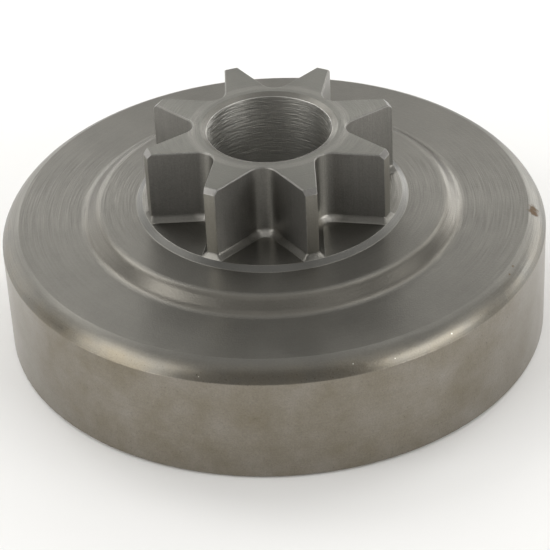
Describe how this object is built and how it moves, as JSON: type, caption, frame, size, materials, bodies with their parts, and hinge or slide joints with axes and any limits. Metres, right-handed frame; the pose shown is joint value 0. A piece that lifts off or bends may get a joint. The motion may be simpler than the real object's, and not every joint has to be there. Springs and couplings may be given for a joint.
{
  "type": "clutch drum sprocket",
  "caption": "Round steel clutch drum, open below, with a stepped web and a spur sprocket on top, bored through for a needle cage.",
  "frame": {"origin": "centre of the open rim, on the bore axis", "axes": "+Z along the bore axis from the open rim towards the sprocket; +X through the middle of a tooth gap"},
  "size_m": [0.075, 0.075, 0.0303],
  "materials": {
    "steel": "turned, dull, lightly oiled"
  },
  "bodies": {
    "root": {"clutch_drum_sprocket": "steel"}
  },
  "joints": []
}
